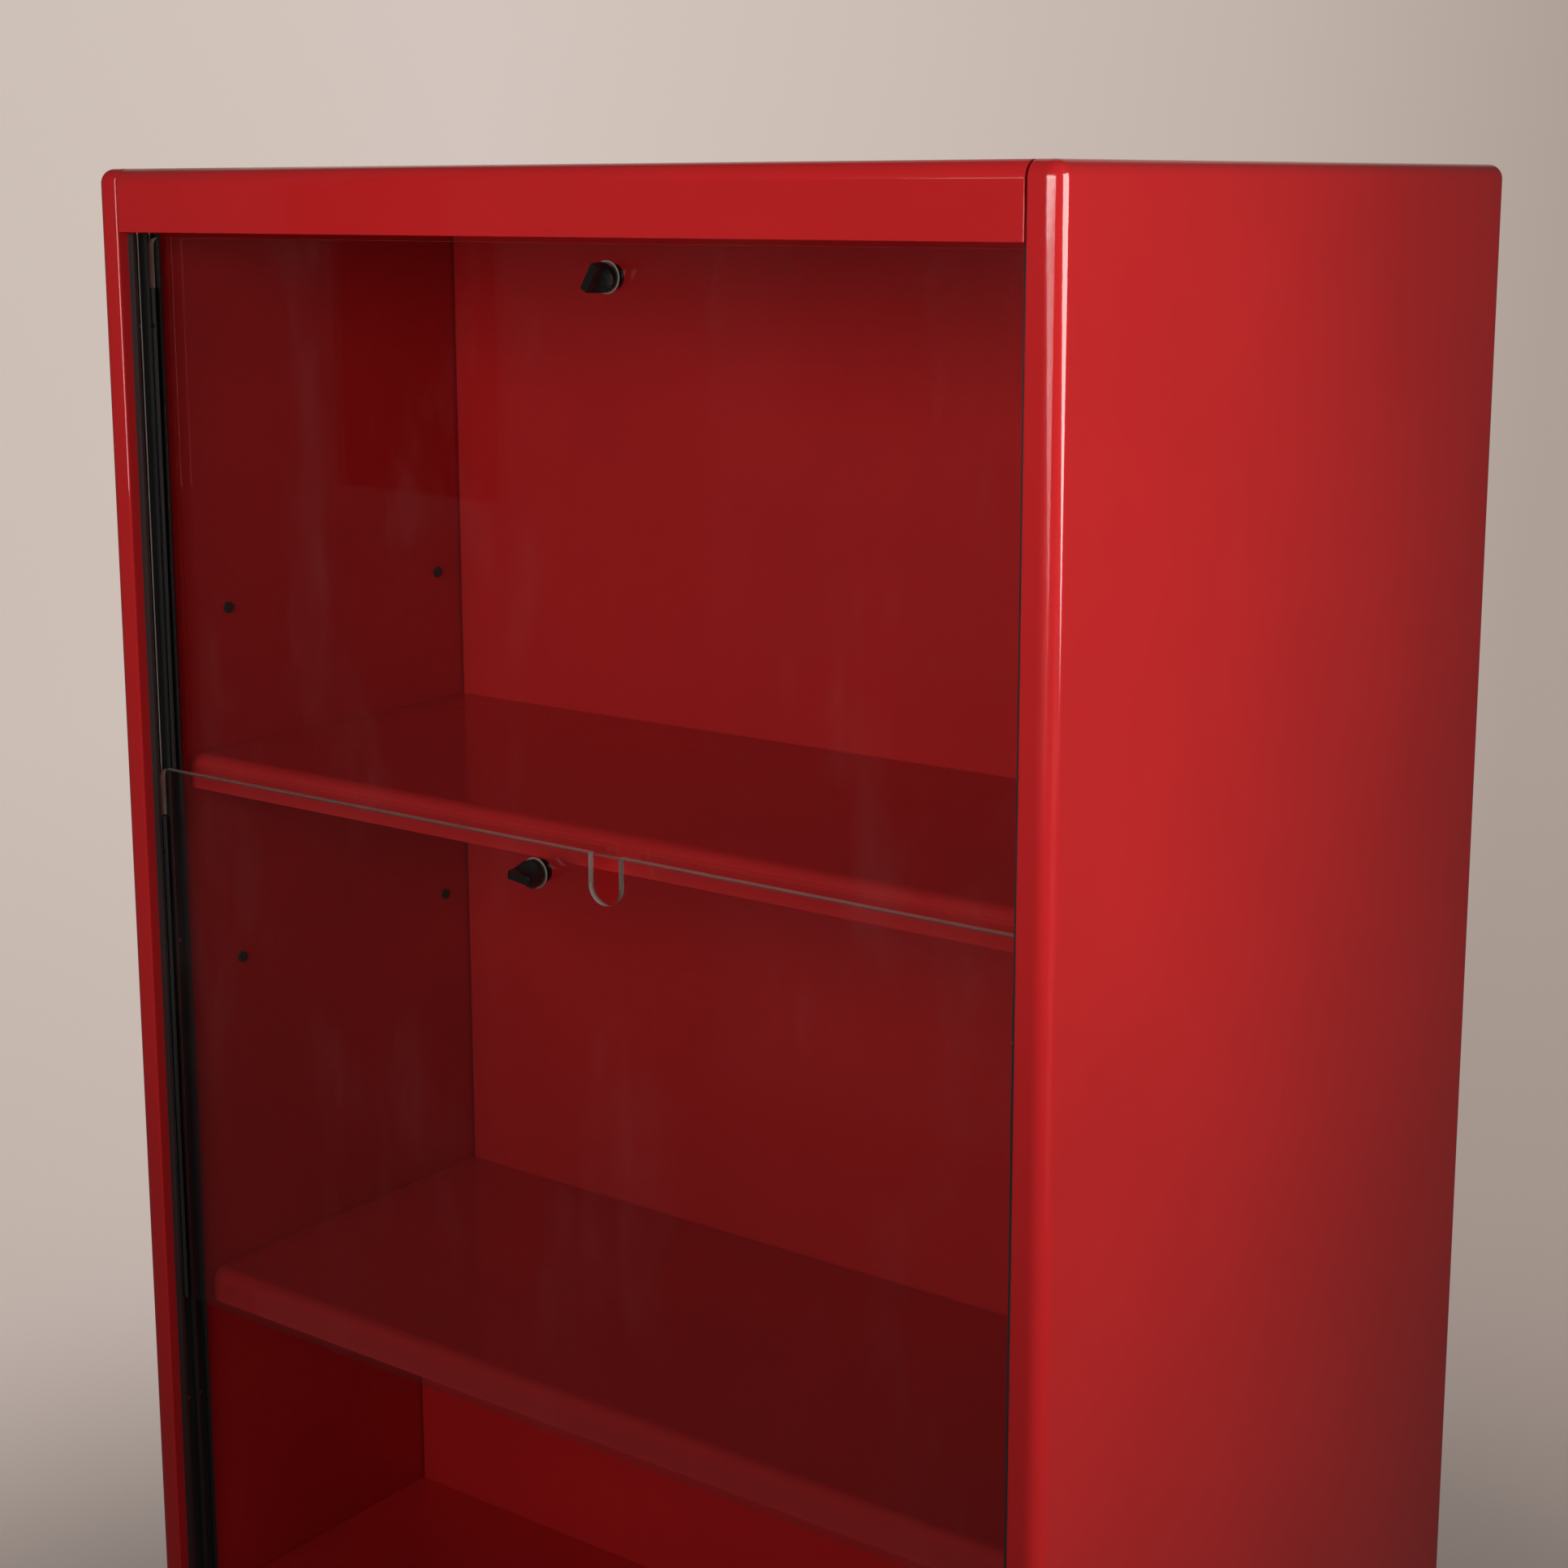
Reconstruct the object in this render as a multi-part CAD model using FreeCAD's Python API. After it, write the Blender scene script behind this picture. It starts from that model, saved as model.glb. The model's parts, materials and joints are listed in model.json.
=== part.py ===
import FreeCAD, Part
import math
import os

# Glazed metal filing cabinet, open to both sides, in millimetres.
# Origin at the centre of the footprint on the floor, +Z up, front face towards -Y.
# The rear face is the front face turned half a turn about Z.

WIDTH = 1000.0
DEPTH = 790.0
HEIGHT = 1820.0
FOOT_GAP = 12.0            # clear height under the side panels

PANEL_THICK = 28.0         # hollow side panel, outer skin to inner skin
SHEET = 1.2                # gauge of the folded sheets
EDGE_R = 13.0              # large rounding of the outer edges
SMALL_R = 2.0              # rounding of the inner edges
SEAM = 1.2                 # gap between a side panel and what stands between them

HEADER_H = 56.0
HEADER_RETURN = 9.0
SILL_TOP = 58.0
SILL_DEPTH = 44.0

SHELF_SETBACK = 57.0
SHELF_LIP = 32.0
SHELF_R = 12.0
SHELF_FLANGE = 36.0
SHELF_RETURN = 12.0
SHELF_TOPS = {"upper_shelf": 1277.0, "middle_shelf": 761.0, "lower_shelf": 422.0}
BASE_TOP = 75.0

DIVIDER_THICK = 18.0
DIVIDER_GAP = 2.4          # to each side panel, clear of the shelves' end flanges
DIVIDER_HIGH_Y = 34.0      # front skin of the two upper dividers
DIVIDER_LOW_Y = -57.0      # front skin of the two lower dividers

PIN_D = 8.0
PIN_OUT = 12.0
PIN_BELOW = 40.0           # from a shelf's top down to the pin's axis
HOLE_ROWS_Y = (-284.0, 0.0, 284.0)
PLUG_D = 11.0
PLUG_OUT = 2.2
PLUG_ROWS_Z = (1410.0, 1065.0)

TRACK_TOP = HEIGHT - HEADER_H - 2.0
TRACK_BOTTOM = SILL_TOP + 1.0
TRACK_WEB = 1.0
TRACK_OUT = 7.2
TRACK_FLANGES = ((11.0, 14.0), (26.0, 28.0), (40.0, 42.0))
TRACK_SCREW_D = 3.6
TRACK_SCREWS_Z = (180.0, 640.0, 1100.0, 1680.0)

GLASS_THICK = 6.0
GLASS_EDGE_X = 31.6        # from the outer side face to the glass edge
GLASS_CORNER_R = 8.0
GLASS = {
    "upper": {"depth": 34.0, "top": 1759.0, "height": 494.0, "knob_x": 74.0, "wing": 59.0,
              "notch": False, "weight_y": (30.0, 90.0), "weight_top": 1287.0},
    "lower": {"depth": 20.0, "top": 1271.0, "height": 523.0, "knob_x": 0.0, "wing": -7.0,
              "notch": True, "weight_y": (4.5, 28.5), "weight_top": 1775.0},
}
NOTCH_X = GLASS["upper"]["knob_x"]
NOTCH_R = 16.0
KNOB_BELOW = 26.0          # from the glass's top edge down to the knob's axis

GUIDE_X = 29.4
GUIDE_LEG = 1.3
GUIDE_REACH = 38.8
GUIDE_START = 45.0         # bare glass edge above the guide
ANCHOR_BELOW = 79.0
ANCHOR_D = 4.0

KNOB_D = 24.0
KNOB_OUT = 22.0
KNOB_BASE = 5.0
WING_THICK = 7.0
SCOOP_R = 12.0
GASKET_D = 26.0
GASKET_THICK = 0.8
SHAFT_D = 6.0
SHAFT_HOLE_D = 8.0
LOCK_D = 20.0
LOCK_THICK = 3.0

CABLE_D = 1.6
CABLE_X = 30.4
PULLEY_R = 9.0             # to the cable's centre line
PULLEY_X = CABLE_X - PULLEY_R
PULLEY_Z = 1792.0
PULLEY_THICK = 5.0
PULLEY_RIM_R = 10.5
PULLEY_GROOVE_R = 7.8
AXLE_D = 4.0
BORE_D = 4.1
BRACKET_Y = (12.5, 41.5)
BRACKET_X = (5.0, PANEL_THICK - SHEET)
BRACKET_Z = (1779.0, 1806.0)
BRACKET_SHEET = 1.5
SLOT_Z = (1776.0, 1804.0)
SLOT_Y = (10.0, 44.0)

WEIGHT_KG = 3.75           # half of one glass with its fittings
STEEL_KG_MM3 = 7.85e-6
WEIGHT_X = (3.5, 21.8)
WEIGHT_R = 8.0             # rounding that clears the side panel's own corner

FOOT_D = 36.0
FOOT_STEM_D = 10.0
FOOT_INSET_X = 20.0
FOOT_INSET_Y = 70.0

FRONT = -DEPTH / 2
LEFT = -WIDTH / 2
INNER = WIDTH / 2 - PANEL_THICK
AXIS_Z = FreeCAD.Vector(0, 0, 1)
ORIGIN = FreeCAD.Vector(0, 0, 0)


def block(x, y, z):
    """Box from three (low, high) pairs."""
    corner = FreeCAD.Vector(x[0], y[0], z[0])
    return Part.makeBox(x[1] - x[0], y[1] - y[0], z[1] - z[0], corner)


def rod(diameter, start, direction, length):
    return Part.makeCylinder(diameter / 2, length, FreeCAD.Vector(*start), FreeCAD.Vector(*direction))


def mirrored(shape):
    """The same shape on the other side of the cabinet's middle plane."""
    return shape.mirror(ORIGIN, FreeCAD.Vector(1, 0, 0))


def both_sides(shape):
    return [shape, mirrored(shape)]


def to_rear(shape):
    turned = shape.copy()
    turned.rotate(ORIGIN, AXIS_Z, 180)
    return turned


def four_corners(shape):
    front = both_sides(shape)
    return front + [to_rear(solid) for solid in front]


def edges_where(shape, test):
    return [edge for edge in shape.Edges if test(edge.BoundBox)]


def export(name, shapes):
    solids = [solid for shape in shapes for solid in shape.Solids]
    result = solids[0] if len(solids) == 1 else Part.makeCompound(solids)
    result.exportStep("parts/" + name + ".step")


def side_block(inset, radius):
    """Left side panel's volume, its outer edges rounded, moved in by inset."""
    x0 = LEFT + inset
    y1 = DEPTH / 2 - inset
    z1 = HEIGHT - inset
    solid = block((x0, -INNER - inset), (-y1, y1), (FOOT_GAP + inset, z1))

    def outer(box):
        upright = box.ZLength > 100 and box.XMax < x0 + 1
        along_top = box.YLength > 100 and box.XMax < x0 + 1 and box.ZMin > z1 - 1
        top_end = box.XLength > 1 and box.ZMin > z1 - 1
        return upright or along_top or top_end

    return solid.makeFillet(radius, edges_where(solid, outer))


def side_panel():
    """Left side panel: a closed sheet box with pulley slots and screw holes."""
    shell = side_block(0, EDGE_R)
    inner_rim = edges_where(shell, lambda box: box.XMin > -INNER - 0.01 and box.ZMax > FOOT_GAP + 1)
    shell = shell.makeFillet(SMALL_R, inner_rim).cut(side_block(SHEET, EDGE_R - SHEET))
    skin_x = (-INNER - SHEET - 1, -INNER + 1)
    slot = block(skin_x, (FRONT + SLOT_Y[0], FRONT + SLOT_Y[1]), SLOT_Z)
    cuts = [slot, slot.mirror(ORIGIN, FreeCAD.Vector(0, 1, 0))]
    for screw in track_screws():
        cuts += [screw, screw.mirror(ORIGIN, FreeCAD.Vector(0, 1, 0))]
    return shell.cut(Part.makeCompound(cuts))


def folded_deck(x_half, y_half, top, height, radius, lip_return, open_down=True):
    """Sheet deck with rounded front and rear noses, lips and returns."""
    def body(inset, rounding):
        low = top - height + inset
        solid = block((-x_half, x_half), (inset - y_half, y_half - inset), (low, top - inset))
        noses = edges_where(solid, lambda box: box.XLength > 100 and box.ZMin > top - inset - 0.1)
        return solid.makeFillet(rounding, noses)

    hollow = body(SHEET, radius - SHEET)
    mouth_y = y_half - lip_return
    mouth = block((-x_half, x_half), (-mouth_y, mouth_y), (top - height - 1, top - height + 2 * SHEET))
    return body(0, radius).cut(hollow.fuse(mouth))


def top_cover():
    return folded_deck(INNER - SEAM, DEPTH / 2, HEIGHT, HEADER_H, EDGE_R, HEADER_RETURN)


def shelf(top):
    """Shelf deck with a side flange at each end that rests on the pins."""
    x_half = INNER - 1.0
    y_half = DEPTH / 2 - SHELF_SETBACK
    deck = folded_deck(x_half, y_half, top, SHELF_LIP, SHELF_R, SHELF_RETURN)
    flange_y = y_half - SHELF_RETURN
    flange = block((-x_half, -x_half + SHEET), (-flange_y, flange_y), (top - SHELF_FLANGE, top - SHEET))
    return deck.fuse(both_sides(flange)).removeSplitter()


def base_pan():
    x_half = INNER - SEAM
    return folded_deck(x_half, DEPTH / 2 - SHELF_SETBACK, BASE_TOP, BASE_TOP - FOOT_GAP, SHELF_R,
                       SHELF_RETURN)


def base_sill():
    """Hollow rail between the side panels, under the front glass."""
    x = (SEAM - INNER, INNER - SEAM)
    y = (FRONT, FRONT + SILL_DEPTH)
    outer = block(x, y, (FOOT_GAP, SILL_TOP))
    nose = edges_where(outer, lambda box: box.XLength > 100 and box.ZMin > SILL_TOP - 1
                       and box.YMax < FRONT + 1)
    outer = outer.makeFillet(SMALL_R, nose)
    inside = block(x, (y[0] + SHEET, y[1] - SHEET), (FOOT_GAP + SHEET, SILL_TOP - SHEET))
    return outer.cut(inside)


def divider(front_y, bottom, top):
    """Double-skinned panel that parts the front compartment from the rear one."""
    x = (DIVIDER_GAP - INNER, INNER - DIVIDER_GAP)
    y = (front_y, front_y + DIVIDER_THICK)
    outer = block(x, y, (bottom, top))
    inside = block((x[0] + SHEET, x[1] - SHEET), (y[0] + SHEET, y[1] - SHEET),
                   (bottom + SHEET, top - SHEET))
    return outer.cut(inside)


def levelling_foot():
    x = LEFT + FOOT_INSET_X
    y = FRONT + FOOT_INSET_Y
    pad = Part.makeCone(FOOT_D / 2, FOOT_D / 2 - 6, 7, FreeCAD.Vector(x, y, 0), AXIS_Z)
    stem = rod(FOOT_STEM_D, (x, y, 6), (0, 0, 1), FOOT_GAP - 6)
    return pad.fuse(stem)


def shelf_pin(y, top):
    """Pin in the side panel's inner skin, with a collar against the skin."""
    z = top - PIN_BELOW
    pin = rod(PIN_D, (-INNER, y, z), (1, 0, 0), PIN_OUT)
    collar = rod(PIN_D + 3, (-INNER, y, z), (1, 0, 0), 0.8)
    return pin.fuse(collar)


def hole_plug(y, z):
    """Shallow domed cap over an unused pin hole."""
    cap = rod(PLUG_D, (-INNER, y, z), (1, 0, 0), PLUG_OUT)
    rim = edges_where(cap, lambda box: box.XMin > -INNER + PLUG_OUT - 0.01)
    return cap.makeFillet(1.0, rim)


def track():
    """Left front twin-groove track: a web with three flanges."""
    z = (TRACK_BOTTOM, TRACK_TOP)
    y_web = (FRONT + TRACK_FLANGES[0][0], FRONT + TRACK_FLANGES[-1][1])
    profile = block((-INNER, -INNER + TRACK_WEB), y_web, z)
    for y0, y1 in TRACK_FLANGES:
        profile = profile.fuse(block((-INNER, -INNER + TRACK_OUT), (FRONT + y0, FRONT + y1), z))
    return profile.removeSplitter().cut(Part.makeCompound(track_screws()))


def track_screws():
    """Flush screws of the left front track, one in each groove at each height."""
    length = TRACK_WEB + SHEET + 2.0
    grooves = [GLASS["upper"]["depth"], GLASS["lower"]["depth"]]
    start_x = -INNER + TRACK_WEB - length
    return [rod(TRACK_SCREW_D, (start_x, FRONT + y, z), (1, 0, 0), length)
            for y in grooves for z in TRACK_SCREWS_Z]


def pulley_bracket():
    """Left front bracket: two cheeks under a web, inside the side panel."""
    x = (LEFT + BRACKET_X[0], LEFT + BRACKET_X[1])
    y0 = FRONT + BRACKET_Y[0]
    y1 = FRONT + BRACKET_Y[1]
    z = BRACKET_Z
    web = block(x, (y0, y1), (z[1] - BRACKET_SHEET, z[1]))
    cheeks = [block(x, (y0, y0 + BRACKET_SHEET), z), block(x, (y1 - BRACKET_SHEET, y1), z)]
    return web.fuse(cheeks).cut(pulley_axle()).removeSplitter()


def pulley_axle():
    start = (LEFT + PULLEY_X, FRONT + BRACKET_Y[0] - 1, PULLEY_Z)
    return rod(AXLE_D, start, (0, 1, 0), BRACKET_Y[1] - BRACKET_Y[0] + 2)


def pulley(depth):
    """Left front pulley with a V groove for the cable, bored for its axle."""
    half = PULLEY_THICK / 2
    rim = 0.6
    outline = [(BORE_D / 2, -half), (PULLEY_RIM_R, -half), (PULLEY_RIM_R, rim - half),
               (PULLEY_GROOVE_R, -0.6), (PULLEY_GROOVE_R, 0.6),
               (PULLEY_RIM_R, half - rim), (PULLEY_RIM_R, half), (BORE_D / 2, half)]
    points = [FreeCAD.Vector(r, y, 0) for r, y in outline]
    face = Part.Face(Part.makePolygon(points + points[:1]))
    wheel = face.revolve(ORIGIN, FreeCAD.Vector(0, 1, 0), 360)
    wheel.translate(FreeCAD.Vector(LEFT + PULLEY_X, FRONT + depth, PULLEY_Z))
    return wheel


def cable(panel):
    """Left cable: up from the glass, over the pulley and down to the weight."""
    y = FRONT + panel["depth"]
    x_glass = LEFT + CABLE_X
    x_weight = x_glass - 2 * PULLEY_R
    low = FreeCAD.Vector(x_glass, y, panel["top"] - GUIDE_START + 10.3)
    glass_side = FreeCAD.Vector(x_glass, y, PULLEY_Z)
    over = FreeCAD.Vector(x_glass - PULLEY_R, y, PULLEY_Z + PULLEY_R)
    weight_side = FreeCAD.Vector(x_weight, y, PULLEY_Z)
    end = FreeCAD.Vector(x_weight, y, panel["weight_top"] + 0.3)
    path = Part.Wire([Part.LineSegment(low, glass_side).toShape(),
                      Part.Arc(glass_side, over, weight_side).toShape(),
                      Part.LineSegment(weight_side, end).toShape()])
    section = Part.Wire([Part.makeCircle(CABLE_D / 2, low, AXIS_Z)])
    return path.makePipeShell([section], True, False)


def counterweight(panel):
    """Left steel bar with rounded long edges that hangs inside the side panel."""
    x = (LEFT + WEIGHT_X[0], LEFT + WEIGHT_X[1])
    y = [FRONT + value for value in panel["weight_y"]]
    area = (x[1] - x[0]) * (y[1] - y[0]) - (4 - math.pi) * WEIGHT_R ** 2
    length = WEIGHT_KG / STEEL_KG_MM3 / area
    bar = block(x, y, (panel["weight_top"] - length, panel["weight_top"]))
    return bar.makeFillet(WEIGHT_R, edges_where(bar, lambda box: box.ZLength > 100))


def glass_panel(panel):
    """Clear pane with rounded top corners, a knob hole and, if it has one, its notch."""
    x_half = WIDTH / 2 - GLASS_EDGE_X
    top = panel["top"]
    y = (FRONT + panel["depth"] - GLASS_THICK / 2, FRONT + panel["depth"] + GLASS_THICK / 2)
    pane = block((-x_half, x_half), y, (top - panel["height"], top))
    corners = edges_where(pane, lambda box: box.YLength > 1 and box.ZMin > top - 1
                          and box.XLength < 1)
    pane = pane.makeFillet(GLASS_CORNER_R, corners)
    knob_z = top - KNOB_BELOW
    cuts = [rod(SHAFT_HOLE_D, (panel["knob_x"], y[0] - 1, knob_z), (0, 1, 0), GLASS_THICK + 2)]
    if panel["notch"]:
        cuts.append(rod(2 * NOTCH_R, (NOTCH_X, y[0] - 1, knob_z), (0, 1, 0), GLASS_THICK + 2))
        cuts.append(block((NOTCH_X - NOTCH_R, NOTCH_X + NOTCH_R), (y[0] - 1, y[1] + 1),
                          (knob_z, top + 1)))
    return pane.cut(Part.makeCompound(cuts))


def edge_guide(panel):
    """Left black channel strip that wraps the glass edge."""
    y_mid = FRONT + panel["depth"]
    half = GLASS_THICK / 2 + GUIDE_LEG
    z = (panel["top"] - panel["height"], panel["top"] - GUIDE_START)
    outer = block((LEFT + GUIDE_X, LEFT + GUIDE_REACH), (y_mid - half, y_mid + half), z)
    inner = block((LEFT + GLASS_EDGE_X, LEFT + GUIDE_REACH + 1),
                  (y_mid - GLASS_THICK / 2, y_mid + GLASS_THICK / 2), z)
    return outer.cut(inner)


def cable_end(panel):
    """Left ferrule on the cable's end and the rivet that holds it in the guide."""
    y_mid = FRONT + panel["depth"]
    seat = panel["top"] - GUIDE_START
    ferrule = rod(2.2, (LEFT + CABLE_X, y_mid, seat), (0, 0, 1), 10.0)
    face_y = y_mid - GLASS_THICK / 2 - GUIDE_LEG
    rivet_x = LEFT + GUIDE_REACH - ANCHOR_D / 2 - 0.4
    rivet = rod(ANCHOR_D, (rivet_x, face_y - 1.0, panel["top"] - ANCHOR_BELOW), (0, 1, 0), 1.0)
    head = edges_where(rivet, lambda box: box.YMax < face_y - 0.99)
    return [ferrule, rivet.makeFillet(0.7, head)]


def knob_place(panel):
    """Front face of the glass at the knob's axis."""
    y = FRONT + panel["depth"] - GLASS_THICK / 2
    return panel["knob_x"], y, panel["top"] - KNOB_BELOW


def turn_knob(panel):
    """Round base with two scooped sides that leave a wing, and its shaft."""
    x, y, z = knob_place(panel)
    body = rod(KNOB_D, (0, 0, 0), (0, -1, 0), KNOB_OUT - GASKET_THICK)
    top_rim = edges_where(body, lambda box: box.YMax < 0.01 - KNOB_OUT + GASKET_THICK)
    body = body.makeFillet(1.5, top_rim)
    reach = KNOB_D
    for side in (-1, 1):
        axis_z = side * (WING_THICK / 2 + SCOOP_R)
        axis_y = -KNOB_BASE - SCOOP_R
        scoop = rod(2 * SCOOP_R, (-reach, axis_y, axis_z), (1, 0, 0), 2 * reach)
        low, high = sorted((side * WING_THICK / 2, side * reach))
        beyond = block((-reach, reach), (-2 * reach, axis_y), (low, high))
        low, high = sorted((axis_z, side * 2 * reach))
        outside = block((-reach, reach), (-2 * reach, -KNOB_BASE), (low, high))
        body = body.cut([scoop, beyond, outside])
    shaft_length = GASKET_THICK + GLASS_THICK + LOCK_THICK
    body = body.fuse(rod(SHAFT_D, (0, 0, 0), (0, 1, 0), shaft_length)).removeSplitter()
    body.rotate(ORIGIN, FreeCAD.Vector(0, 1, 0), -panel["wing"])
    body.translate(FreeCAD.Vector(x, y - GASKET_THICK, z))
    return body


def knob_gasket(panel):
    x, y, z = knob_place(panel)
    start = (x, y - GASKET_THICK, z)
    ring = rod(GASKET_D, start, (0, 1, 0), GASKET_THICK)
    return ring.cut(rod(SHAFT_D + 0.2, start, (0, 1, 0), GASKET_THICK))


def lock_disc(panel):
    """Disc on the knob's shaft, against the back of the glass."""
    x, y, z = knob_place(panel)
    start = (x, y + GLASS_THICK + 0.2, z)
    disc = rod(LOCK_D, start, (0, 1, 0), LOCK_THICK)
    return disc.cut(rod(SHAFT_D + 0.1, start, (0, 1, 0), LOCK_THICK))


def make_frame():
    left = side_panel()
    export("left_side_panel", [left])
    export("right_side_panel", [mirrored(left)])
    export("top_cover", [top_cover()])
    export("base_pan", [base_pan()])
    export("base_sills", [base_sill(), to_rear(base_sill())])
    export("levelling_feet", four_corners(levelling_foot()))
    for name, top in SHELF_TOPS.items():
        export(name, [shelf(top)])
    pins = [shelf_pin(y, top) for top in SHELF_TOPS.values() for y in HOLE_ROWS_Y]
    plugs = [hole_plug(y, z) for z in PLUG_ROWS_Z for y in HOLE_ROWS_Y]
    export("shelf_pins", [solid for pin in pins for solid in both_sides(pin)])
    export("hole_plugs", [solid for plug in plugs for solid in both_sides(plug)])


def make_dividers():
    upper, middle, lower = SHELF_TOPS.values()
    levels = {"top_divider": (DIVIDER_HIGH_Y, upper, HEIGHT),
              "upper_divider": (DIVIDER_HIGH_Y, middle, upper),
              "lower_divider": (DIVIDER_LOW_Y, lower, middle),
              "bottom_divider": (DIVIDER_LOW_Y, BASE_TOP, lower)}
    for name, (front_y, bottom, top) in levels.items():
        export(name, [divider(front_y, bottom, top - SHEET)])


def make_tracks():
    tracks = both_sides(track())
    export("front_tracks", tracks)
    export("rear_tracks", [to_rear(solid) for solid in tracks])
    export("track_screws", [solid for screw in track_screws() for solid in four_corners(screw)])
    export("pulley_brackets", four_corners(pulley_bracket()))
    export("pulley_axles", four_corners(pulley_axle()))


def make_glazing():
    """Both sliding panes of both faces, with everything that hangs or turns with them."""
    for height, panel in GLASS.items():
        wheel = pulley(panel["depth"])
        pieces = {
            "glass": [glass_panel(panel)],
            "edge_guides": both_sides(edge_guide(panel)),
            "cable_ends": [solid for end in cable_end(panel) for solid in both_sides(end)],
            "knob": [turn_knob(panel)],
            "knob_gasket": [knob_gasket(panel)],
            "lock_disc": [lock_disc(panel)],
            "counterweights": both_sides(counterweight(panel)),
            "cables": both_sides(cable(panel)),
            "left_pulley": [wheel],
            "right_pulley": [mirrored(wheel)],
        }
        for name, shapes in pieces.items():
            export("front_" + height + "_" + name, shapes)
            export("rear_" + height + "_" + name, [to_rear(shape) for shape in shapes])


os.makedirs("parts", exist_ok=True)
make_frame()
make_dividers()
make_tracks()
make_glazing()
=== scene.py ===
import json
import math

import bpy
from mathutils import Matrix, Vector

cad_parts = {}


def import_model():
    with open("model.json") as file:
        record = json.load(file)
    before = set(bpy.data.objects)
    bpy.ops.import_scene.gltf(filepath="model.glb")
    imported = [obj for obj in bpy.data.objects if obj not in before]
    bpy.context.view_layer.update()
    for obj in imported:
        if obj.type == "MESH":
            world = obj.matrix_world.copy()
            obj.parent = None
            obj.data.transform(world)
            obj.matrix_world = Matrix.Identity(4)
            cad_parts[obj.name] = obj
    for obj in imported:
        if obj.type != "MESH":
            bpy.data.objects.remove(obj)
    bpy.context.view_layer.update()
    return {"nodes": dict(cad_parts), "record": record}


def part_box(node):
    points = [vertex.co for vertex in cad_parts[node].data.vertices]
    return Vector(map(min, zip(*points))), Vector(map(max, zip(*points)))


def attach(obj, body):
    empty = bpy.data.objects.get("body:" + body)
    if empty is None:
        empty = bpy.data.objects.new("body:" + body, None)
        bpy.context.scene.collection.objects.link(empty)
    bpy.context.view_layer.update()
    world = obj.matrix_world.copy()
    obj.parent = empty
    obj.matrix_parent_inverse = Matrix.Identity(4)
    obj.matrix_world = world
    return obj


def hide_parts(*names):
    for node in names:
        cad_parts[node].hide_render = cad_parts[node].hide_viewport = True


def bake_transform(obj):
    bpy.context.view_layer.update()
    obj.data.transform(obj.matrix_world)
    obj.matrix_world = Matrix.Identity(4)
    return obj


# Looks of the glazed filing cabinet, in metres, in the CAD frame: front towards -Y, +Z up.

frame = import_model()
nodes = frame["nodes"]

CAMERA_LENS = 59.42
CAMERA_SHIFT = (0.0174, -0.08)
CAMERA_PLACE = (1.3973, -1.9201, 1.8009)
CAMERA_YAW = 37.09
CAMERA_PITCH = 10.30
CAMERA_ROLL = 0.19

LAMP_COLOUR = (1.0, 0.975, 0.96)
CARD_RADIANCE = 12.0
SEAM_CARD_RADIANCE = 6.0
FRONT_CARD_AZIMUTHS = (-18, 34)
RIGHT_CARD_AZIMUTHS = (80, 121)

FLOOR_RADIUS = 2.6
FLOOR_FADE = (0.8, 2.1)    # from full to nothing, as distances from the middle

GLASS_MIRROR = 0.04        # share mirrored straight on
GLASS_FILM = 0.0003        # least share of haze
CLEAR_BELOW = 0.7495       # top of the lower pane's polished bottom edge, at rest

PANES = ("front_upper_", "front_lower_", "rear_upper_", "rear_lower_")

CABLE_R = 0.0008
CABLE_DIP = 0.80           # radius between two strands, as a share of the cable's
CABLE_STRANDS = 6
CABLE_PITCH = 0.009        # length of one turn of the strands
CABLE_RING = 0.001         # distance between two rings of the mesh
BEND_STEPS = 40            # rings of the half turn over a pulley
PULLEY_R = 0.009           # to the cable's centre line


# ---------------------------------------------------------------- node helpers

def new_material(name):
    material = bpy.data.materials.new(name)
    material.use_nodes = True
    return material, material.node_tree.nodes, material.node_tree.links


def principled(tree_nodes):
    return tree_nodes["Principled BSDF"]


def noise(tree_nodes, links, vector, scale, detail=3.0, rough=0.5):
    node = tree_nodes.new("ShaderNodeTexNoise")
    node.inputs["Scale"].default_value = scale
    node.inputs["Detail"].default_value = detail
    node.inputs["Roughness"].default_value = rough
    links.new(vector, node.inputs["Vector"])
    return node.outputs["Fac"]


def ramp(tree_nodes, links, fac, stops):
    node = tree_nodes.new("ShaderNodeValToRGB")
    node.color_ramp.elements[0].position = stops[0][0]
    node.color_ramp.elements[0].color = (*stops[0][1], 1)
    node.color_ramp.elements[1].position = stops[-1][0]
    node.color_ramp.elements[1].color = (*stops[-1][1], 1)
    for place, colour in stops[1:-1]:
        node.color_ramp.elements.new(place).color = (*colour, 1)
    links.new(fac, node.inputs["Fac"])
    return node.outputs["Color"]


def map_range(tree_nodes, links, value, from_pair, to_pair):
    node = tree_nodes.new("ShaderNodeMapRange")
    for key, number in zip(("From Min", "From Max", "To Min", "To Max"), (*from_pair, *to_pair)):
        node.inputs[key].default_value = number
    links.new(value, node.inputs["Value"])
    return node.outputs["Result"]


def math_node(tree_nodes, links, operation, first, second=None):
    """One Math node; first and second are sockets or numbers."""
    node = tree_nodes.new("ShaderNodeMath")
    node.operation = operation
    for socket, value in zip(node.inputs, (first, second)):
        if value is None:
            continue
        if isinstance(value, (int, float)):
            socket.default_value = value
        else:
            links.new(value, socket)
    return node.outputs["Value"]


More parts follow.
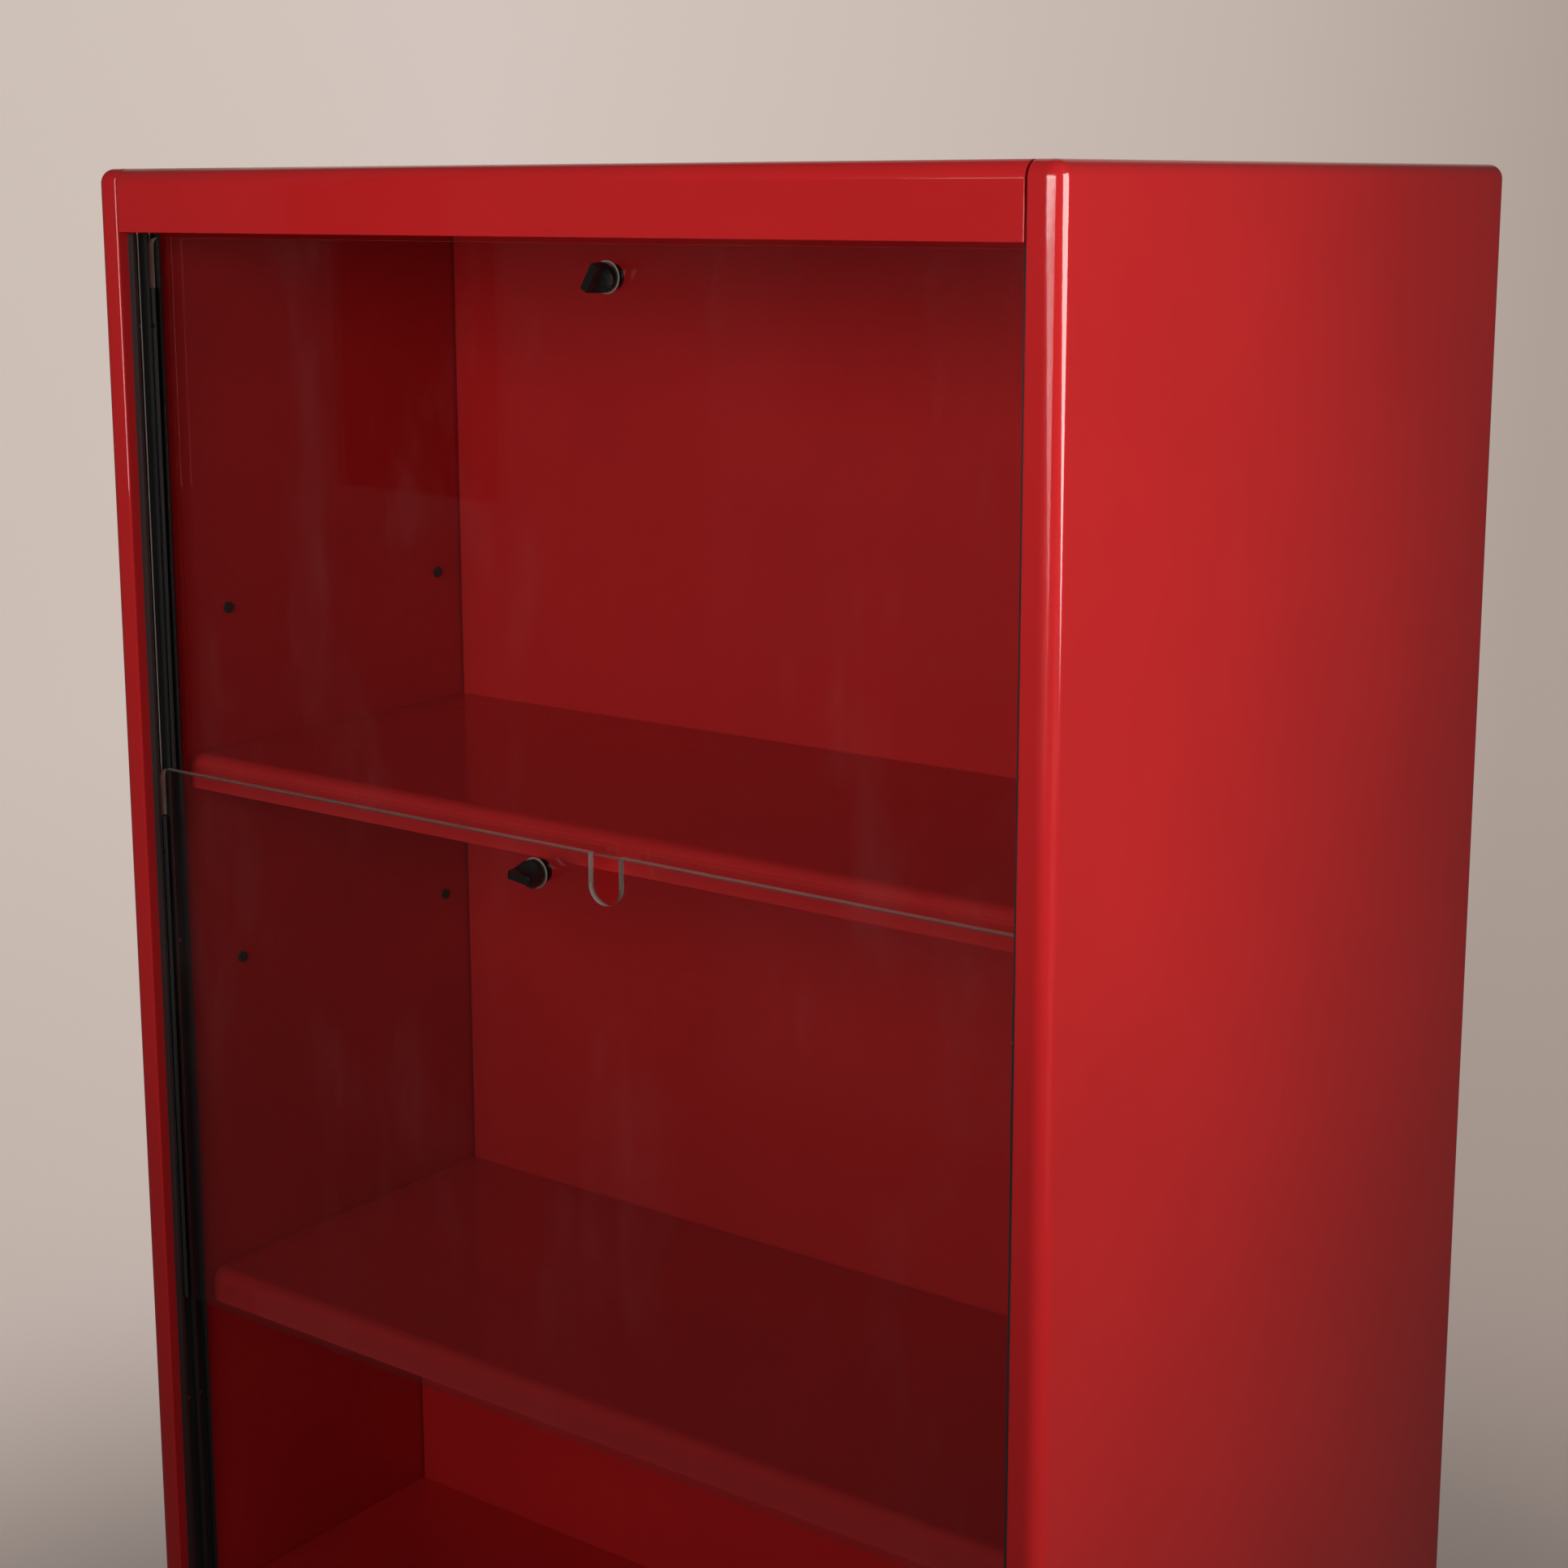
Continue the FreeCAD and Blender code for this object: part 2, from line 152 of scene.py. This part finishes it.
def mix_colours(tree_nodes, links, factor, first, second, blend="MIX"):
    node = tree_nodes.new("ShaderNodeMix")
    node.data_type = "RGBA"
    node.blend_type = blend
    for key, value in (("Factor", factor), ("A", first), ("B", second)):
        socket = next(s for s in node.inputs if s.name == key and s.enabled)
        if isinstance(value, (int, float)):
            socket.default_value = value
        elif isinstance(value, tuple):
            socket.default_value = (*value, 1)
        else:
            links.new(value, socket)
    return next(s for s in node.outputs if s.enabled)


def stretched(tree_nodes, links, scale):
    coords = tree_nodes.new("ShaderNodeTexCoord")
    mapping = tree_nodes.new("ShaderNodeMapping")
    mapping.inputs["Scale"].default_value = scale
    links.new(coords.outputs["Object"], mapping.inputs["Vector"])
    return mapping.outputs["Vector"]


def bump(tree_nodes, links, height, strength, distance, below=None):
    node = tree_nodes.new("ShaderNodeBump")
    node.inputs["Strength"].default_value = strength
    node.inputs["Distance"].default_value = distance
    links.new(height, node.inputs["Height"])
    if below is not None:
        links.new(below, node.inputs["Normal"])
    return node.outputs["Normal"]


# ------------------------------------------------------------------- materials

def red_paint():
    """Gloss enamel on sheet steel: orange peel, faint mottling and dull wiped patches."""
    material, n, l = new_material("red_enamel")
    shader = principled(n)
    even = stretched(n, l, (1, 1, 1))
    mottle = noise(n, l, even, 3.5, 5.0, 0.6)
    colour = ramp(n, l, mottle, [(0.3, (0.48, 0.0150, 0.0165)), (0.7, (0.54, 0.0180, 0.0195))])
    l.new(colour, shader.inputs["Base Color"])
    wiped = noise(n, l, stretched(n, l, (7, 7, 4)), 1.0, 6.0, 0.65)
    l.new(map_range(n, l, wiped, (0.45, 0.8), (0.09, 0.20)), shader.inputs["Roughness"])
    wave = noise(n, l, even, 55.0, 2.0)
    peel = noise(n, l, even, 420.0, 2.0)
    sheet = bump(n, l, wave, 0.20, 0.0006)
    l.new(bump(n, l, peel, 0.10, 0.0002, sheet), shader.inputs["Normal"])
    return material


def black_plastic():
    """Satin extruded plastic with fine drawing lines along Z and dust in places."""
    material, n, l = new_material("black_extrusion")
    shader = principled(n)
    lines = noise(n, l, stretched(n, l, (900, 900, 6)), 1.0, 2.0)
    colour = ramp(n, l, lines, [(0.3, (0.019, 0.019, 0.019)), (0.7, (0.033, 0.033, 0.032))])
    dust = noise(n, l, stretched(n, l, (140, 140, 9)), 1.0, 4.0, 0.7)
    dusty = map_range(n, l, dust, (0.62, 0.8), (0.0, 0.35))
    l.new(mix_colours(n, l, dusty, colour, (0.05, 0.045, 0.042)), shader.inputs["Base Color"])
    l.new(map_range(n, l, lines, (0.3, 0.7), (0.28, 0.42)), shader.inputs["Roughness"])
    l.new(bump(n, l, lines, 0.15, 0.0003), shader.inputs["Normal"])
    return material


def pane_glass():
    """Clear float glass: a weak mirror over a faint tint, wiped haze, and ground edges.

    The lower pane's bottom edge is polished clear, so it draws no pale line.
    """
    material, n, l = new_material("pane_glass")
    n.remove(principled(n))
    output = n["Material Output"]

    facing = n.new("ShaderNodeLayerWeight")
    facing.inputs["Blend"].default_value = 0.5
    steep = math_node(n, l, "POWER", facing.outputs["Facing"], 5.0)
    glancing = math_node(n, l, "MULTIPLY", steep, 1 - GLASS_MIRROR)
    mirror_share = math_node(n, l, "ADD", glancing, GLASS_MIRROR)

    clear = n.new("ShaderNodeBsdfTransparent")
    clear.inputs["Color"].default_value = (0.933, 0.945, 0.935, 1)
    mirror = n.new("ShaderNodeBsdfGlossy")
    mirror.inputs["Roughness"].default_value = 0.02
    face = n.new("ShaderNodeMixShader")
    l.new(mirror_share, face.inputs[0])
    l.new(clear.outputs[0], face.inputs[1])
    l.new(mirror.outputs[0], face.inputs[2])

    haze = n.new("ShaderNodeBsdfDiffuse")
    haze.inputs["Color"].default_value = (0.75, 0.70, 0.68, 1)
    wiped = noise(n, l, stretched(n, l, (9, 9, 3.2)), 1.0, 6.0, 0.68)
    streaks = noise(n, l, stretched(n, l, (60, 60, 2.0)), 1.0, 3.0)
    cloud = map_range(n, l, wiped, (0.54, 0.78), (0.0, 0.020))
    film_share = math_node(n, l, "ADD", math_node(n, l, "MULTIPLY", cloud, streaks), GLASS_FILM)
    film = n.new("ShaderNodeMixShader")
    l.new(film_share, film.inputs[0])
    l.new(face.outputs[0], film.inputs[1])
    l.new(haze.outputs[0], film.inputs[2])

    edge = n.new("ShaderNodeBsdfPrincipled")
    grind = noise(n, l, stretched(n, l, (40, 900, 40)), 1.0, 3.0)
    l.new(ramp(n, l, grind, [(0.3, (0.30, 0.29, 0.25)), (0.7, (0.48, 0.45, 0.40))]),
          edge.inputs["Base Color"])
    edge.inputs["Roughness"].default_value = 0.22
    edge.inputs["Coat Weight"].default_value = 1.0
    edge.inputs["Coat Roughness"].default_value = 0.1
    coords = n.new("ShaderNodeTexCoord")
    split = n.new("ShaderNodeSeparateXYZ")
    l.new(coords.outputs["Normal"], split.inputs["Vector"])
    is_face = math_node(n, l, "GREATER_THAN", math_node(n, l, "ABSOLUTE", split.outputs["Y"]), 0.9)
    place = n.new("ShaderNodeSeparateXYZ")
    l.new(coords.outputs["Object"], place.inputs["Vector"])
    is_bottom = math_node(n, l, "LESS_THAN", place.outputs["Z"], CLEAR_BELOW)
    is_clear = math_node(n, l, "MAXIMUM", is_face, is_bottom)
    both = n.new("ShaderNodeMixShader")
    l.new(is_clear, both.inputs[0])
    l.new(edge.outputs[0], both.inputs[1])
    l.new(film.outputs[0], both.inputs[2])
    l.new(both.outputs[0], output.inputs["Surface"])
    return material


def knob_plastic():
    """Glossy moulded plastic with fine handling marks."""
    material, n, l = new_material("knob_plastic")
    shader = principled(n)
    even = stretched(n, l, (1, 1, 1))
    grain = noise(n, l, even, 260.0, 4.0)
    l.new(ramp(n, l, grain, [(0.3, (0.006, 0.005, 0.005)), (0.7, (0.012, 0.010, 0.010))]),
          shader.inputs["Base Color"])
    l.new(map_range(n, l, noise(n, l, even, 90.0, 5.0), (0.35, 0.7), (0.12, 0.30)),
          shader.inputs["Roughness"])
    l.new(bump(n, l, grain, 0.06, 0.0003), shader.inputs["Normal"])
    return material


def plain(name, dark, light, rough, metallic=0.0, scale=60.0, relief=0.05):
    """Mottled material between two colours, with roughness that varies with them."""
    material, n, l = new_material(name)
    shader = principled(n)
    spots = noise(n, l, stretched(n, l, (1, 1, 1)), scale, 4.0)
    l.new(ramp(n, l, spots, [(0.3, dark), (0.7, light)]), shader.inputs["Base Color"])
    l.new(map_range(n, l, spots, (0.3, 0.7), rough), shader.inputs["Roughness"])
    l.new(bump(n, l, spots, relief, 0.0003), shader.inputs["Normal"])
    shader.inputs["Metallic"].default_value = metallic
    return material


finishes = {
    "red_paint": red_paint(),
    "black_plastic": black_plastic(),
    "glass": pane_glass(),
    "knob_plastic": knob_plastic(),
    "gasket": plain("gasket_rubber", (0.17, 0.16, 0.14), (0.26, 0.24, 0.21), (0.35, 0.55),
                    scale=300.0),
    "steel": plain("zinc_plate", (0.42, 0.41, 0.38), (0.6, 0.59, 0.56), (0.25, 0.45),
                   1.0, 500.0),
    "cable_steel": plain("cable_steel", (0.70, 0.65, 0.57), (0.88, 0.83, 0.75), (0.3, 0.5),
                         0.3, 800.0),
    "weight_steel": plain("raw_bar", (0.10, 0.10, 0.10), (0.2, 0.19, 0.18), (0.45, 0.7),
                          1.0, 120.0),
    "pulley_nylon": plain("nylon", (0.70, 0.69, 0.64), (0.8, 0.79, 0.75), (0.4, 0.55),
                          scale=200.0),
    "foot_plastic": plain("foot_plastic", (0.012, 0.012, 0.012), (0.03, 0.03, 0.03),
                          (0.5, 0.7), scale=300.0),
}

slot_of = {entry["node"]: entry["material_slot"] for entry in frame["record"]["subparts"]}
for name, obj in nodes.items():
    obj.data.materials.clear()
    obj.data.materials.append(finishes[slot_of[name]])


# --------------------------------------------------------------- softened edges

def soften(obj, width, segments=2, angle=38.0):
    """Rounds a CAD node's sharp edges; the node's own mesh stays as it is."""
    weld = obj.modifiers.new("weld", "WELD")
    weld.merge_threshold = 0.000002
    rounding = obj.modifiers.new("round", "BEVEL")
    rounding.width = width
    rounding.segments = segments
    rounding.limit_method = "ANGLE"
    rounding.angle_limit = math.radians(angle)
    rounding.use_clamp_overlap = True
    rounding.harden_normals = True


soften(nodes["top_cover"], 0.0008)
for pane in PANES:
    soften(nodes[pane + "glass"], 0.0006)
    soften(nodes[pane + "knob"], 0.0008, segments=3, angle=30.0)
    soften(nodes[pane + "edge_guides"], 0.0003)
    soften(nodes[pane + "counterweights"], 0.0006)


# ----------------------------------------------------------------------- cables

def cable_ring(centre, side, forward, turn):
    """Points round one section of the cable: the strands show as lobes."""
    count = 2 * CABLE_STRANDS
    points = []
    for step in range(count):
        angle = turn + 2 * math.pi * step / count
        radius = CABLE_R * (1.0 if step % 2 == 0 else CABLE_DIP)
        across = side * (radius * math.cos(angle))
        points.append(centre + across + forward * (radius * math.sin(angle)))
    return points


def add_cable(verts, faces, route):
    """Appends one closed stretch of cable; route is a list of (point, direction, length so far)."""
    count = 2 * CABLE_STRANDS
    first = len(verts)
    forward = Vector((0, 1, 0))
    for place, direction, run in route:
        side = direction.cross(forward).normalized()
        verts += cable_ring(place, side, forward, 2 * math.pi * run / CABLE_PITCH)
    rings = len(route)
    for ring in range(rings - 1):
        base = first + ring * count
        for step in range(count):
            after = (step + 1) % count
            faces.append((base + step, base + after, base + count + after, base + count + step))
    faces.append(tuple(first + step for step in reversed(range(count))))
    faces.append(tuple(first + (rings - 1) * count + step for step in range(count)))


def straight_route(low, high):
    length = (high - low).length
    steps = max(2, round(length / CABLE_RING))
    direction = (high - low).normalized()
    return [(low.lerp(high, i / steps), direction, length * i / steps) for i in range(steps + 1)]


def bend_route(centre, outward):
    """Half turn over the pulley from the glass side to the weight side."""
    route = []
    for i in range(BEND_STEPS + 1):
        angle = math.pi * i / BEND_STEPS
        offset = Vector((outward * math.cos(angle), 0, math.sin(angle))) * PULLEY_R
        direction = Vector((-outward * math.sin(angle), 0, math.cos(angle)))
        route.append((centre + offset, direction, PULLEY_R * angle))
    return route


def cable_piece(name, routes):
    verts = []
    faces = []
    for route in routes:
        add_cable(verts, faces, route)
    mesh = bpy.data.meshes.new(name)
    mesh.from_pydata([tuple(v) for v in verts], [], faces)
    mesh.validate()
    mesh.shade_smooth()
    mesh.materials.append(finishes["cable_steel"])
    obj = bpy.data.objects.new(name, mesh)
    bpy.context.collection.objects.link(obj)
    return obj


def pane_cables(pane):
    """Both twisted cables of one pane, each in three stretches that meet at the pulley."""
    low_corner, high_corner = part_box(pane + "cables")
    weights_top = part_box(pane + "counterweights")[1].z
    wheel_low, wheel_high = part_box(pane + "left_pulley")
    axle_z = (wheel_low.z + wheel_high.z) / 2
    y = (low_corner.y + high_corner.y) / 2
    ferrule_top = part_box(pane + "cable_ends")[1].z
    glass_runs, bends, weight_runs = [], [], []
    for side in ("left_pulley", "right_pulley"):
        left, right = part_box(pane + side)
        wheel_x = (left.x + right.x) / 2
        centre = Vector((wheel_x, y, axle_z))
        inward = -1 if wheel_x > 0 else 1
        glass_x = wheel_x + inward * PULLEY_R
        weight_x = wheel_x - inward * PULLEY_R
        glass_runs.append(straight_route(Vector((glass_x, y, ferrule_top)),
                                         Vector((glass_x, y, axle_z))))
        bends.append(bend_route(centre, inward))
        weight_runs.append(straight_route(Vector((weight_x, y, weights_top)),
                                          Vector((weight_x, y, axle_z))))
    glass = cable_piece(pane + "cable_glass_run", glass_runs)
    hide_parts(pane + "cables")
    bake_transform(glass)
    bend = cable_piece(pane + "cable_bend", bends)
    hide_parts(pane + "cables")
    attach(bend, "cabinet")
    weight = cable_piece(pane + "cable_weight_run", weight_runs)
    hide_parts(pane + "cables")
    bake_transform(weight)


for pane in PANES:
    pane_cables(pane)


# ----------------------------------------------------------------------- stage

def look_at(obj, target):
    obj.rotation_euler = (Vector(target) - obj.location).to_track_quat("-Z", "Y").to_euler()


def soft_box(name, place, target, size, radiance, half_spread=None):
    """Rectangular warm white lamp, unseen by the camera and by mirrored rays.

    Radiance is the one straight ahead; half_spread, in degrees, is the cut-off of a grid
    that narrows the beam.
    """
    lamp = bpy.data.lights.new(name, "AREA")
    lamp.shape = "RECTANGLE"
    lamp.size, lamp.size_y = size
    lamp.energy = radiance * math.pi * size[0] * size[1]
    if half_spread is not None:
        half = math.radians(half_spread)
        lamp.spread = 2 * half
        lamp.energy *= (math.tan(half) - half) / math.tan(half)
    lamp.color = LAMP_COLOUR
    obj = bpy.data.objects.new(name, lamp)
    bpy.context.collection.objects.link(obj)
    obj.location = place
    look_at(obj, target)
    obj.visible_camera = False
    obj.visible_glossy = False


def glow_card(name, corner, azimuths, distance, bottoms, top, radiance, receivers):
    """Upright glowing card that shows only as a highlight on the receivers.

    Azimuths, one for each upright edge, are in degrees about the corner, 0 straight out of
    the front and 90 to +X; bottoms are the heights of the two lower corners.
    """
    points = []
    for azimuth, bottom in zip(azimuths, bottoms):
        angle = math.radians(azimuth)
        x = corner[0] + distance * math.sin(angle)
        y = corner[1] - distance * math.cos(angle)
        points += [(x, y, bottom), (x, y, top)]
    mesh = bpy.data.meshes.new(name)
    mesh.from_pydata(points, [], [(0, 1, 3, 2)])
    material, n, l = new_material(name)
    n.remove(principled(n))
    light = n.new("ShaderNodeEmission")
    light.inputs["Color"].default_value = (*LAMP_COLOUR, 1)
    light.inputs["Strength"].default_value = radiance
    l.new(light.outputs[0], n["Material Output"].inputs["Surface"])
    mesh.materials.append(material)
    obj = bpy.data.objects.new(name, mesh)
    bpy.context.collection.objects.link(obj)
    for ray in ("camera", "diffuse", "transmission", "volume_scatter", "shadow"):
        setattr(obj, "visible_" + ray, False)
    group = bpy.data.collections.new(name + "_receivers")
    for node in receivers:
        group.objects.link(nodes[node])
    obj.light_linking.receiver_collection = group


def floor():
    """Pale round floor whose rim fades away, so no horizon shows behind the cabinet."""
    bpy.ops.mesh.primitive_circle_add(vertices=96, radius=FLOOR_RADIUS, fill_type="NGON",
                                      location=(0, 0, 0))
    obj = bpy.context.object
    obj.name = "floor"
    material = plain("pale_floor", (0.50, 0.45, 0.41), (0.54, 0.49, 0.45), (0.6, 0.7), 0.0, 3.0)
    n, l = material.node_tree.nodes, material.node_tree.links
    coords = n.new("ShaderNodeTexCoord")
    length = n.new("ShaderNodeVectorMath")
    length.operation = "LENGTH"
    l.new(coords.outputs["Object"], length.inputs[0])
    fade = n.new("ShaderNodeMapRange")
    fade.interpolation_type = "SMOOTHSTEP"
    for key, value in zip(("From Min", "From Max", "To Min", "To Max"), (*FLOOR_FADE, 1.0, 0.0)):
        fade.inputs[key].default_value = value
    l.new(length.outputs["Value"], fade.inputs["Value"])
    l.new(fade.outputs["Result"], principled(n).inputs["Alpha"])
    obj.data.materials.append(material)
    obj.visible_glossy = False


def world():
    """Warm wall behind the cabinet for the camera and for mirrored rays, with painted shading:
    darker towards +X and downwards; a dim room elsewhere.
    """
    sky = bpy.data.worlds.new("room")
    bpy.context.scene.world = sky
    sky.use_nodes = True
    n, l = sky.node_tree.nodes, sky.node_tree.links
    back = n["Background"]
    coords = n.new("ShaderNodeTexCoord")
    split = n.new("ShaderNodeSeparateXYZ")
    l.new(coords.outputs["Generated"], split.inputs["Vector"])
    # Painted shading of the wall: brightest a little in from the -X side, darker towards +X.
    across = ramp(n, l, map_range(n, l, split.outputs["X"], (-0.85, -0.30), (0, 1)),
                  [(0.08, (0.617, 0.530, 0.476)), (0.30, (0.655, 0.560, 0.510)),
                   (0.53, (0.600, 0.512, 0.458)), (0.74, (0.540, 0.452, 0.403)),
                   (0.92, (0.430, 0.356, 0.315))])
    # Painted shading of the wall: darker downwards.
    down = ramp(n, l, map_range(n, l, split.outputs["Z"], (-0.50, 0.10), (0, 1)),
                [(0.02, (0.68, 0.66, 0.66)), (0.23, (0.86, 0.84, 0.84)),
                 (0.50, (0.97, 0.96, 0.96)), (0.95, (1.0, 1.0, 1.0))])
    wall = mix_colours(n, l, 1.0, across, down, "MULTIPLY")
    dim = ramp(n, l, map_range(n, l, split.outputs["Y"], (-1.0, 1.0), (0, 1)),
               [(0.0, (0.035, 0.033, 0.034)), (0.6, (0.06, 0.055, 0.052)),
                (1.0, (0.08, 0.07, 0.065))])
    behind = map_range(n, l, split.outputs["Y"], (0.35, 0.6), (0, 1))
    leftward = map_range(n, l, split.outputs["X"], (-0.1, -0.3), (0, 1))
    mirrored_wall = math_node(n, l, "MULTIPLY", behind, leftward)
    room = mix_colours(n, l, mirrored_wall, dim, wall)
    path = n.new("ShaderNodeLightPath")
    ambient = mix_colours(n, l, path.outputs["Is Diffuse Ray"], room, (0.055, 0.05, 0.048))
    l.new(mix_colours(n, l, path.outputs["Is Camera Ray"], ambient, wall), back.inputs["Color"])
    back.inputs["Strength"].default_value = 1.0


def camera():
    data = bpy.data.cameras.new("camera")
    data.lens = CAMERA_LENS
    data.shift_x, data.shift_y = CAMERA_SHIFT
    obj = bpy.data.objects.new("camera", data)
    bpy.context.collection.objects.link(obj)
    obj.location = CAMERA_PLACE
    obj.rotation_euler = (math.radians(90 - CAMERA_PITCH), math.radians(CAMERA_ROLL),
                          math.radians(CAMERA_YAW))
    bpy.context.scene.camera = obj


def lamps():
    """Lamps that light everything, then cards that only draw highlights on some pieces."""
    soft_box("front_lamp", (0.4, -2.4, 1.95), (-0.05, -0.2, 1.72), (2.0, 1.2), 8.6,
             half_spread=37.0)
    soft_box("right_lamp", (1.3, -0.35, 1.65), (0.5, -0.35, 1.65), (0.5, 1.85), 3.7)
    soft_box("left_lamp", (-2.6, 0.5, 1.2), (-0.5, 0.1, 1.0), (1.2, 1.1), 3.0)
    soft_box("rear_lamp", (-0.9, 3.4, 1.0), (0.0, 0.4, 0.9), (1.8, 1.4), 6.0)

    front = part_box("right_side_panel")[0].y
    right_corner = (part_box("right_side_panel")[1].x, front)
    inner_edge = (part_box("left_side_panel")[1].x, front)
    outside = ("right_side_panel", "front_upper_knob", "front_lower_knob")
    glow_card("front_card", right_corner, FRONT_CARD_AZIMUTHS, 2.2, (1.77, 1.10), 2.5,
              CARD_RADIANCE, outside)
    glow_card("right_card", right_corner, RIGHT_CARD_AZIMUTHS, 1.0, (1.78, 1.26), 2.2,
              CARD_RADIANCE, outside)
    glow_card("header_card", right_corner, FRONT_CARD_AZIMUTHS, 2.2, (1.70, 1.10), 1.815,
              CARD_RADIANCE, ("top_cover",))
    glow_card("seam_card", inner_edge, FRONT_CARD_AZIMUTHS, 0.3, (1.5, 1.5), 2.0,
              SEAM_CARD_RADIANCE, ("left_side_panel",))


floor()
world()
lamps()
camera()
bpy.context.scene.view_settings.view_transform = "Standard"
